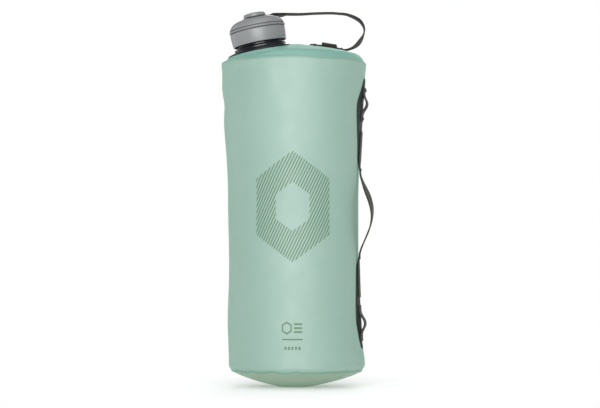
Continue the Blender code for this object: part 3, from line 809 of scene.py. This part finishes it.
def close_middle(work):
    """Joins the points of a round panel's first row into one, and drops what that leaves over."""
    bmesh.ops.remove_doubles(work, verts=work.verts, dist=POLE_WELD)
    loose = [edge for edge in work.edges if not edge.link_faces]
    bmesh.ops.delete(work, geom=loose, context="EDGES")


def make_bottom_panel():
    """The bowl that the bottle stands on, gathered at its weld, and its lap inside the side film."""
    columns = FILM_COLUMNS // 2
    turns = spread(columns)
    radii = np.concatenate([np.linspace(0.0, CONTACT_R, 16)[:-1], np.linspace(CONTACT_R, FOOT_R, 44)])
    angle, radius = np.meshgrid(turns, radii)
    near = FOOT_R - radius
    height = bowl_height(radius)
    height = height + 1.3 * fold_depth(LOW_FOLDS, angle, near) * ramp(near, 0.0, 0.004)
    height = height + foot_scallops(angle) * ramp(radius, FOOT_R - 0.010, FOOT_R)
    height[0] = height[0].mean()
    laps = np.array([SEAM_LOW + 0.0008, SEAM_LOW + 0.0024, SEAM_LOW + LAP])
    lap_angle, lap_z = np.meshgrid(turns, laps)
    rim = lap_radius(lap_z, lap_angle, SEAM_LOW)
    radius = radius + (rim[0] - 0.0002 - FOOT_R) * ramp(radius, CONTACT_R, FOOT_R)
    radius = np.concatenate([radius, rim])
    angle = np.concatenate([angle, lap_angle])
    height = np.concatenate([height, lap_z])
    lapped = height > SEAM_LOW
    bent = ramp(radius, CONTACT_R, FOOT_R)
    inside = np.where(lapped, radius - FILM, radius - 0.4 * FILM * bent)
    above = height + np.where(lapped, 0.0, FILM * (1 - 0.5 * bent))
    outer, inner = polar(radius, angle, height), polar(inside, angle, above)
    uv = fan_uv(columns, np.concatenate([radii, FOOT_R + laps - SEAM_LOW]))
    panel = shell("bottom_panel_bowl", outer, inner, True, uv, BOWL_LOOK)
    rework(panel.data, close_middle)
    return panel


def make_top_panel():
    """The dome, with shallow folds that fan in from its weld, and its lap inside the side film."""
    columns = FILM_COLUMNS // 2 + 24
    turns = spread(columns)
    shares = np.linspace(0, 1, 54) ** 1.35
    angle, share = np.meshgrid(turns, shares)
    hole_x = NECK.x + HOLE_R * np.cos(angle) * math.cos(NECK_TILT)
    x = mix(DOME_R * np.cos(angle), hole_x, share)
    y = mix(DOME_R * np.sin(angle), HOLE_R * np.sin(angle), share)
    height = panel_height(x, y)
    radius = np.hypot(x, y)
    near = np.maximum(0.0, DOME_R - radius)
    seat = np.hypot((x - NECK.x) / math.cos(NECK_TILT), y)
    loose = ramp(seat, FLANGE_R + 0.001, FLANGE_R + 0.012) * ramp(near, 0.0006, 0.004)
    patch = 1 - np.exp(-(((x - 0.026) / 0.022) ** 4 + (y / 0.014) ** 4))
    way = np.arctan2(y, x)
    relief = -1.6 * fold_depth(TOP_FOLDS, way, near)
    crease = np.exp(-((wrapped(way - math.radians(-34)) / 0.16) ** 2))
    relief = relief - 0.0006 * crease * ramp(near, 0.001, 0.008)
    relief = relief + 0.00030 * np.sin(4 * way + 0.6) * np.sin(radius * 120)
    sag = FLANGE_SAG * ramp(seat, FLANGE_R - 0.0001, FLANGE_R + 0.0018)
    sag = sag * (1 - ramp(seat, 0.040, 0.052))
    height = height + relief * loose * patch - sag * ramp(-x, 0.002, 0.020) * ramp(near, 0.0004, 0.0030)
    laps = np.array([SEAM_HIGH - LAP, SEAM_HIGH - 0.0026, SEAM_HIGH - 0.0009])
    lap_angle, lap_z = np.meshgrid(turns, laps)
    rim = lap_radius(lap_z, lap_angle, SEAM_HIGH)
    rim_x, rim_y = rim * np.cos(lap_angle), rim * np.sin(lap_angle)
    first = np.hypot(x[0], y[0])
    pull = (lap_radius(np.full(columns, SEAM_HIGH), turns, SEAM_HIGH) - 0.0005) / first
    for row, hold in ((0, 1.0), (1, 0.55), (2, 0.25)):
        x[row] *= 1 + (pull - 1) * hold
        y[row] *= 1 + (pull - 1) * hold
    x, y = np.concatenate([rim_x, x]), np.concatenate([rim_y, y])
    height = np.concatenate([lap_z, height])
    outer = np.stack([x, y, height], axis=-1)
    round_it = np.roll(outer, -1, axis=1) - np.roll(outer, 1, axis=1)
    inner = outer - unit(np.cross(round_it, np.gradient(outer, axis=0))) * FILM
    inner[:3, :, 2] = outer[:3, :, 2]
    uv = fan_uv(columns, np.concatenate([DOME_R + SEAM_HIGH - laps, DOME_R * (1 - shares)]))
    return shell("top_panel_dome", outer, inner, True, uv, CROWN_LOOK)


# ---- Neck and cap ----

def helical_ridge(name, root_r, crest_r, low, material):
    """A thread's ridge, in the neck's frame: it climbs one pitch a turn and fades out at its ends."""
    count = int(THREAD_TURNS * THREAD_STEPS)
    sections = []
    for i in range(count + 1):
        angle = TURN * i / THREAD_STEPS
        full = smooth(min(i, count - i) / THREAD_FADE) * 0.9 + 0.1
        tip = mix(root_r, crest_r, full)
        outline = ((root_r, -0.0009), (tip - 0.0003, -0.00062), (tip, -0.0004), (tip, 0.0004),
                   (tip - 0.0003, 0.00062), (root_r, 0.0009))
        height = low + PITCH * i / THREAD_STEPS
        sections.append([(r * math.cos(angle), r * math.sin(angle), height + u) for r, u in outline])
    lengths = np.arange(count + 1) * TURN * root_r / THREAD_STEPS
    made = loft(name, np.array(sections), lengths, material)
    made.data.transform(NECK_FRAME)
    return made


NECK_PROFILE = (
    (0.0162, -0.0012), (FLANGE_R, -0.0012), (FLANGE_R, -0.0006), (0.0258, 0.0000), (0.0225, 0.0006),
    (0.0216, 0.0010), (0.0209, 0.0016), (0.0209, 0.0029), (0.0204, 0.0034), (0.0188, 0.0036),
    (0.0183, 0.0040), (0.0183, 0.0165), (0.0179, 0.0169), (0.0166, 0.0169), (0.0162, 0.0165),
)
CAP_PROFILE = (
    (0, 0.0186), (0.0062, 0.0186), (0.0062, 0.0233), (0.0140, 0.0233), (0.0163, 0.0212),
    (0.0163, 0.0183), (0.0189, 0.0183), (0.0189, 0.0147), (0.0202, 0.0145), (0.0202, 0.0055),
    (0.0210, 0.0055), (0.0213, 0.0059), (0.0217, 0.0100), (0.0220, 0.0157), (0.0218, 0.0162),
    (0.0205, 0.0162), (0.0205, 0.0191), (0.0217, 0.0192), (0.0216, 0.0199), (0.0208, 0.0212),
    (0.0195, 0.0227), (0.0180, 0.0239), (0.0163, 0.0248), (0.0142, 0.0255), (0.0126, 0.0256),
    (0.0116, 0.0252), (0.0114, 0.0244), (0.0046, 0.0244), (0.0046, 0.0204), (0, 0.0204),
)
RING_PROFILE = (
    (0.0206, 0.0167), (0.0219, 0.0167), (0.0223, 0.0172), (0.0222, 0.0182), (0.0218, 0.0187),
    (0.0206, 0.0187),
)
GASKET_PROFILE = ((0.0164, 0.0172), (0.0186, 0.0172), (0.0186, 0.0180), (0.0164, 0.0180))
BUTTON_PROFILE = (
    (0, 0.0207), (0.0043, 0.0207), (0.0043, 0.0247), (0.0070, 0.0247), (0.0070, 0.0269),
    (0.0085, 0.0269), (0.0088, 0.0273), (0.0088, 0.0290), (0.0083, 0.0298), (0.0068, 0.0303),
    (0.0035, 0.0305), (0, 0.0305),
)
EYE_PROFILE = ((0.0073, 0.0247), (0.0109, 0.0247), (0.0109, 0.0266), (0.0073, 0.0266))


def make_tongue():
    """The eye's tongue: a tab with round corners, which the webbing is sewn to."""
    reach = np.linspace(-0.0035, 0.0124, 36)
    half = 0.0055 * np.sqrt(np.clip(1 - np.clip((reach - 0.0104) / 0.0024, 0, 1) ** 2, 0.05, 1))
    sections = []
    for s, w in zip(reach, half):
        turns = spread(24)
        wide = np.sign(np.cos(turns)) * np.abs(np.cos(turns)) ** 0.35 * w
        tall = np.sign(np.sin(turns)) * np.abs(np.sin(turns)) ** 0.6 * TONGUE_THICK / 2
        sections.append(np.stack([np.full(24, s), wide, tall], axis=-1))
    made = loft("tether_eye_tongue", np.array(sections), reach - reach[0], EYE_LOOK)
    made.data.transform(tongue_frame())
    return made


def tongue_frame():
    """Where the tongue leaves the eye: X runs out along it and Z is off its face."""
    pivot = Matrix.Translation((TONGUE_PIVOT[0], 0, TONGUE_PIVOT[1]))
    turn = Matrix.Rotation(EYE_TURN, 4, "Z")
    return NECK_FRAME @ turn @ pivot @ Matrix.Rotation(TONGUE_DROOP, 4, "Y")


# ---- Webbing ----

def on_dome(x, lift, y=0.0):
    """A point off the top panel."""
    return (x, y, float(panel_height(np.float64(x), np.float64(y))) + lift)


def make_tether():
    """The webbing from the eye's tongue, over to the right, and back down to its anchor."""
    tongue = tongue_frame()
    seat = TONGUE_THICK / 2 + GAP + WEBBING / 2
    lift = ANCHOR_TOP + WEBBING / 2
    route = [tuple(tongue @ Vector((s, 0, seat))) for s in TONGUE_SEWN_S]
    route += TETHER_OVER
    route.append(on_dome(TETHER_SEWN_X[0], lift + GAP))
    route += [on_dome(x, lift) for x in TETHER_SEWN_X[1:]]
    points = curve_through(route, 20)
    share = np.linspace(0, 1, len(points))
    first = np.array(tongue.to_3x3() @ Vector((0, 1, 0)))
    level = mix(first, np.array([0.0, 1.0, 0.0]), ramp(share, 0, 0.35)[:, None])
    turn = sum(t * np.exp(-(((share - at) / span) ** 2)) for t, at, span in TETHER_TWISTS)
    ahead = directions(points)
    across = np.array([Matrix.Rotation(t, 3, Vector(w)) @ Vector(a)
                       for t, w, a in zip(turn, ahead, level)])
    return strap("tether_webbing", points, across, TETHER_WIDTH, WEBBING, WEBBING_LOOK)


def on_body(z, lift):
    """Points of the strap's middle line, off the side film."""
    return polar(body_radius(z, STRAP_ANGLE) + lift, STRAP_ANGLE, z)


SIDEWAYS = np.array([-math.sin(STRAP_ANGLE), math.cos(STRAP_ANGLE), 0.0])


def make_lash(name, low, high):
    z = np.linspace(low, high, 64)
    share = np.clip((z - low - LASH_SEWN) / (high - low - 2 * LASH_SEWN), 0, 1)
    lift = PATCH_TOP + FINE / 2 + (LASH_BULGE + 0.0004) * np.sin(math.pi * share) ** 2
    across = np.broadcast_to(SIDEWAYS, (len(z), 3))
    return strap(name, on_body(z, lift), across, LASH_WIDTH, FINE, LASH_LOOK)


def make_carrying_strap(name, low, high, steps):
    """A stretch of the carrying strap between two heights."""
    z = np.linspace(low, high, steps)
    share = np.clip((z - STRAP_FREE[0]) / (STRAP_FREE[1] - STRAP_FREE[0]), 0, 1)
    lift = GAP + PATCH + GAP + WEBBING / 2 + SPARE + STRAP_BULGE * np.sin(math.pi * share) ** 1.4
    buried = np.maximum(STRAP_FREE[0] - z, z - STRAP_FREE[1])
    lift = lift - (lift - PATCH_TOP - WEBBING / 2) * ramp(buried, 0.0, 0.006)
    away = np.minimum(np.abs(z - STRAP_FREE[0]), np.abs(z - STRAP_FREE[1]))
    widths = mix(STRAP_NECK, STRAP_WIDTH, ramp(away, 0, STRAP_FLARE))
    widths = np.where(buried > 0, np.minimum(widths, TAIL_WIDTH), widths)
    lean = math.radians(9) * np.sin(TURN * share) * (share > 0) * (share < 1)
    centres = on_body(z, lift)
    ahead = directions(centres)
    across = np.array([Matrix.Rotation(t, 3, Vector(w)) @ Vector(SIDEWAYS)
                       for t, w in zip(lean, ahead)])
    return strap(name, centres, across, widths, WEBBING, WEBBING_LOOK)


def pressed(edge, depth, at, rim):
    """How deep a patch's border is pressed, at a distance from its edge."""
    return depth * np.exp(-(((edge - at) / 0.0004) ** 2)) + rim * np.exp(-((edge / 0.0003) ** 2))


def make_patch(name, inner, wide, outer, broad):
    """A side patch: narrow for the strap, wide under the lash loop, with a rounded tip and a
    pressed border."""
    rows, columns = 96, 25
    z = np.linspace(inner, outer, rows)
    half = np.where(np.abs(z - inner) < abs(wide - inner),
                    mix(PATCH_HALF[0], broad, ramp(z, inner, wide)),
                    mix(broad, PATCH_HALF[1], ramp(z, wide, outer)))
    tip = np.abs(z - outer) / 0.0030
    half = half * np.sqrt(np.clip(1 - np.clip(1 - tip, 0, 0.93) ** 2, 0, 1))
    blunt = np.clip(1 - np.abs(z - inner) / 0.0100, 0, 1)
    half = half * (0.50 + 0.50 * np.sqrt(1 - blunt ** 2.4))
    across = np.linspace(-1, 1, columns)
    across = across * (1.12 - 0.12 * across ** 2)
    angle = STRAP_ANGLE + np.outer(half, across) / WAIST_R
    z = np.repeat(z[:, None], columns, axis=1)
    edge = half[:, None] * (1 - np.abs(across))[None, :]
    edge = np.minimum(edge, np.minimum(np.abs(z - outer), np.abs(z - inner)))
    radius = body_radius(z, angle)
    top = radius + PATCH_TOP - pressed(edge, 0.00028, 0.0014, 0.00022)
    uv = np.stack([(angle - STRAP_ANGLE) * WAIST_R, z], axis=-1)
    return shell(name, polar(top, angle, z), polar(radius + UNDERSIDE, angle, z), False, uv, PATCH_LOOK)


def make_anchor_patch():
    """The patch under the tether's end: a rectangle with round corners and a pressed border."""
    low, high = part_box("tether_anchor_patch")
    middle, half = (low.x + high.x) / 2, (high.x - low.x) / 2
    x, y = np.meshgrid(np.linspace(low.x, high.x, 48), np.linspace(high.y, low.y, 33), indexing="ij")
    edge = np.minimum(np.minimum(x - low.x, high.x - x), np.minimum(y - low.y, high.y - y))
    sides = ((x, middle, half), (y, 0.0, high.y))
    beyond = [np.maximum(0, np.abs(at - centre) - reach + ANCHOR_CORNER) for at, centre, reach in sides]
    corner = np.hypot(*beyond)
    scale = np.where(corner > ANCHOR_CORNER, ANCHOR_CORNER / np.maximum(corner, 1e-9), 1.0)
    for (at, centre, _), over in zip(sides, beyond):
        at -= np.sign(at - centre) * over * (1 - scale)
    under = panel_height(x, y)
    top = under + ANCHOR_TOP - pressed(edge, 0.00030, 0.0016, 0.00025)
    outer = np.stack([x, y, top], axis=-1)
    inner = np.stack([x, y, under + UNDERSIDE], axis=-1)
    return shell("tether_anchor_cloth", outer, inner, False, np.stack([x, y], axis=-1), PATCH_LOOK)


def make_keeper():
    """A doubled strap over the tether, sewn down at both sides."""
    low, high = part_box("tether_keeper")
    middle = (low.x + high.x) / 2
    foot = ANCHOR_TOP + KEEPER_THICK / 2
    bridge = foot + WEBBING + 2 * SPARE
    leave, reach = TETHER_WIDTH / 2 + 0.0028, TETHER_WIDTH / 2 + 0.0006
    spots = [(0.002, bridge + 0.0001), (reach, bridge), (leave, foot), (high.y, foot)]
    spots = [(-y, lift) for y, lift in reversed(spots)] + spots
    points = curve_through([on_dome(middle, lift, y) for y, lift in spots], 9)
    slope = float(panel_height(middle + 0.001, 0.0) - panel_height(middle - 0.001, 0.0))
    along = np.array([0.002, 0.0, slope]) / math.hypot(0.002, slope)
    across = np.broadcast_to(along, points.shape)
    return strap("tether_keeper_loop", points, across, high.x - low.x, KEEPER_THICK, WEBBING_LOOK)


# ---- Build ----

def place(thing, body, slot, *nodes):
    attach(thing, body)
    if nodes:
        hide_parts(*nodes)


def place_soft(thing, body, slot, *nodes):
    """Places a soft piece and gives it its own copy of its mesh."""
    place(thing, body, slot, *nodes)
    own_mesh(thing)


def build_body():
    place_soft(make_side_film(), "base", "film", "side_film")
    place(make_bottom_panel(), "base", "film", "bottom_panel")
    place(make_top_panel(), "top", "end_film", "top_panel")


def build_neck_and_cap():
    for name, profile, ease, look, body, slot, node in (
            ("neck_moulding", NECK_PROFILE, 0.00025, NECK_LOOK, "top", "neck_black", "neck_spout"),
            ("cap_moulding", CAP_PROFILE, 0.00035, CAP_LOOK, "cap", "cap_grey", "cap_shell"),
            ("cap_trim_ring", RING_PROFILE, 0.0003, RING_LOOK, "cap", "ring_grey", "cap_ring"),
            ("cap_seal", GASKET_PROFILE, 0.0002, SILICONE_LOOK, "cap", "silicone", "cap_gasket"),
            ("tether_knob", BUTTON_PROFILE, 0.0004, CAP_LOOK, "cap", "cap_grey", "tether_button"),
            ("tether_eye_ring", EYE_PROFILE, 0.0004, EYE_LOOK, "tether_end", "neck_black",
             "tether_eye")):
        place(turned(name, profile, ease, look), body, slot, node)
    place(helical_ridge("neck_thread_ridge", *NECK_THREAD, NECK_LOOK), "top", "neck_black")
    place(helical_ridge("cap_thread_ridge", *CAP_THREAD, CAP_LOOK), "cap", "cap_grey")
    place(make_tongue(), "tether_end", "neck_black")


def build_tether():
    tether = make_tether()
    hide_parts("tether_strap")
    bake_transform(tether)
    place(make_anchor_patch(), "top", "patch", "tether_anchor_patch")
    place(make_keeper(), "top", "webbing", "tether_keeper")
    for side in ("inner", "outer"):
        node = f"tether_bartack_{side}"
        low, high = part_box(node)
        made = stitches(f"tether_stitches_{side}", (low + high) / 2, Vector((1, 0, 0)),
                        Vector((0, 1, 0)), TACK, high.y - low.y, TETHER_SUNK)
        place(made, "top", "thread", node)
    low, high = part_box("tether_bartack_eye")
    turn = tongue_frame().to_3x3()
    made = stitches("tether_stitches_eye", (low + high) / 2, turn @ Vector((1, 0, 0)),
                    turn @ Vector((0, 1, 0)), TACK, TETHER_WIDTH - TACK)
    place(made, "tether_end", "thread", "tether_bartack_eye")


def build_side():
    for side, shape in (("upper", PATCH_UPPER), ("lower", PATCH_LOWER)):
        place_soft(make_patch(f"{side}_patch_cloth", *shape), "base", "patch", f"{side}_patch")
        low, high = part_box(f"{side}_lash_strap")
        lash = make_lash(f"{side}_lash_loop", low.z, high.z)
        place_soft(lash, "base", "webbing", f"{side}_lash_strap")
    loop = make_carrying_strap("carrying_strap_loop", *STRAP_FREE, 130)
    place_soft(loop, "handle", "webbing", "handle_strap")
    for side, low, high in (("low", STRAP_SEWN[0], STRAP_FREE[0] + STRAP_OVERLAP),
                            ("high", STRAP_FREE[1] - STRAP_OVERLAP, STRAP_SEWN[1])):
        tail = make_carrying_strap(f"carrying_strap_tail_{side}", low, high, 60)
        place_soft(tail, "base", "webbing")
    for strap_name in ("upper_lash", "lower_lash", "handle"):
        for side in ("low", "high"):
            node = f"{strap_name}_bartack_{side}"
            low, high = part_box(node)
            width = (high.y - low.y) / math.cos(STRAP_ANGLE)
            made = stitches(f"{strap_name}_stitches_{side}", (low + high) / 2, Vector((0, 0, -1)),
                            Vector(SIDEWAYS), high.z - low.z, width, SUNK[strap_name])
            place_soft(made, "base", "thread", node)


# ---- Studio ----

CAMERA_AT = (0.0039, -1.5500, 0.0977)
CAMERA_RISE = math.radians(1.69)
LENS = 118.0
SENSOR = 36.0
LAMP_AIM = (0, 0, 0.14)
LAMPS = (   # name, place, width and height, watts
    ("key", (-0.12, -1.75, 0.60), (1.5, 0.9), 26.0),
    ("top", (0.0, -0.3, 1.3), (1.0, 1.0), 3.0),
    ("behind", (0.25, 1.8, 0.8), (1.2, 0.9), 14.0),
    ("back_left", (-1.1, 0.7, 0.5), (0.5, 1.2), 2.0),
    ("back_right", (1.1, 0.7, 0.5), (0.5, 1.2), 1.6),
)
WORLD_TINT = (0.97, 1.0, 0.99, 1)
WORLD_LIGHT = 0.32
FLOOR_REACH = 6.0
FLOOR_GLOW = 0.25
FLOOR_FADE = (0.06, 0.20)   # how far from the middle the floor starts and ends to turn white


def make_camera():
    camera = bpy.data.cameras.new("camera")
    camera.lens = LENS
    camera.sensor_width = SENSOR
    camera.clip_start, camera.clip_end = 0.01, 50.0
    thing = linked("camera", camera)
    thing.location = CAMERA_AT
    thing.rotation_euler = (math.pi / 2 + CAMERA_RISE, 0, 0)
    bpy.context.scene.camera = thing


def make_lamp(name, at, size, power):
    lamp = bpy.data.lights.new(name, "AREA")
    lamp.shape = "RECTANGLE"
    lamp.size, lamp.size_y = size
    lamp.energy = power
    thing = linked(name, lamp)
    thing.location = at
    thing.rotation_euler = (Vector(LAMP_AIM) - Vector(at)).to_track_quat("-Z", "Y").to_euler()
    thing.visible_camera = False


def make_floor():
    """A pale round floor that turns into the white surround a little way off."""
    mesh = bpy.data.meshes.new("floor")
    rework(mesh, lambda work: bmesh.ops.create_circle(work, cap_ends=True, segments=96,
                                                      radius=FLOOR_REACH))
    made = Graph("floor", (0.90, 0.90, 0.90), 0.9, Specular_IOR_Level=0.1,
                 Emission_Color=(1, 1, 1, 1), Emission_Strength=FLOOR_GLOW)
    spot = made.add("ShaderNodeTexCoord", {}, out=3)
    away = made.add("ShaderNodeVectorMath", {0: spot}, out=1, operation="LENGTH")
    share = made.add("ShaderNodeMapRange", {0: away, 1: FLOOR_FADE[0], 2: FLOOR_FADE[1]},
                     interpolation_type="SMOOTHSTEP")
    white = made.add("ShaderNodeEmission", {})
    both = made.add("ShaderNodeMixShader", {0: share, 1: made.shader.outputs[0], 2: white})
    made.feed(made.tree.nodes["Material Output"].inputs["Surface"], both)
    mesh.materials.append(made.material)
    linked("floor", mesh)


def make_world():
    """White where the camera sees it, and a dimmer even light on the object."""
    world = bpy.data.worlds.new("studio")
    bpy.context.scene.world = world
    world.use_nodes = True
    nodes, links = world.node_tree.nodes, world.node_tree.links
    seen = nodes["Background"]
    light = nodes.new("ShaderNodeBackground")
    for node, colour, strength in ((seen, (1, 1, 1, 1), 1.0), (light, WORLD_TINT, WORLD_LIGHT)):
        node.inputs[0].default_value = colour
        node.inputs[1].default_value = strength
    path = nodes.new("ShaderNodeLightPath")
    both = nodes.new("ShaderNodeMixShader")
    links.new(path.outputs["Is Camera Ray"], both.inputs[0])
    links.new(light.outputs[0], both.inputs[1])
    links.new(seen.outputs[0], both.inputs[2])
    links.new(both.outputs[0], nodes["World Output"].inputs["Surface"])


def build_studio():
    make_camera()
    make_floor()
    make_world()
    for lamp in LAMPS:
        make_lamp(*lamp)
    bpy.context.scene.view_settings.view_transform = "Standard"


build_body()
build_neck_and_cap()
build_tether()
build_side()
build_studio()
